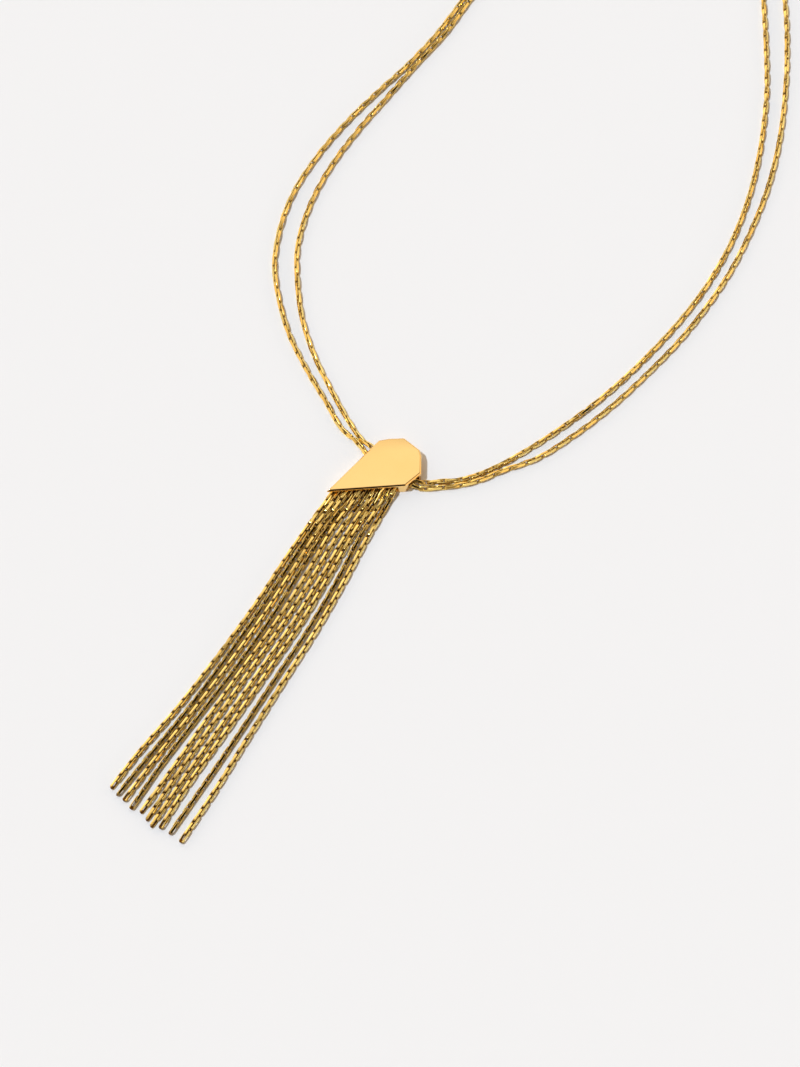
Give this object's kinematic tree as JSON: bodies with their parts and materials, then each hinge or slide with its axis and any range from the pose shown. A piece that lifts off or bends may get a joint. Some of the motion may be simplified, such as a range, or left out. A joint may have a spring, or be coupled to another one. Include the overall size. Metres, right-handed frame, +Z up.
{
  "type": "tassel necklace",
  "caption": "Double-strand fine chain necklace: both chains pass through a flat slanted metal slider that holds a long tassel of the same chain, with end caps and a clasp behind.",
  "frame": {"origin": "on the underside of the slider, on the surface that the necklace lies on", "axes": "+Z up from the surface; +Y along the necklace, from the tassel's ends towards the clasp; +X to the right, seen from above with the clasp at the top"},
  "size_m": [0.0976, 0.2761, 0.0029],
  "materials": {
    "slider_gold": "polished",
    "chain_gold": "polished",
    "clasp_gold": "polished"
  },
  "bodies": {
    "root": {"slider": "slider_gold", "neck_chain_inner": "chain_gold", "neck_chain_outer": "chain_gold", "tassel_chain_01": "chain_gold", "tassel_chain_02": "chain_gold", "tassel_chain_03": "chain_gold", "tassel_chain_04": "chain_gold", "tassel_chain_05": "chain_gold", "tassel_chain_06": "chain_gold", "tassel_chain_07": "chain_gold", "tassel_chain_08": "chain_gold", "tassel_chain_09": "chain_gold", "tassel_chain_10": "chain_gold", "end_cap_left": "clasp_gold", "end_cap_right": "clasp_gold", "clasp_ring_left": "clasp_gold", "clasp_ring_right": "clasp_gold", "clasp": "clasp_gold"}
  },
  "joints": []
}
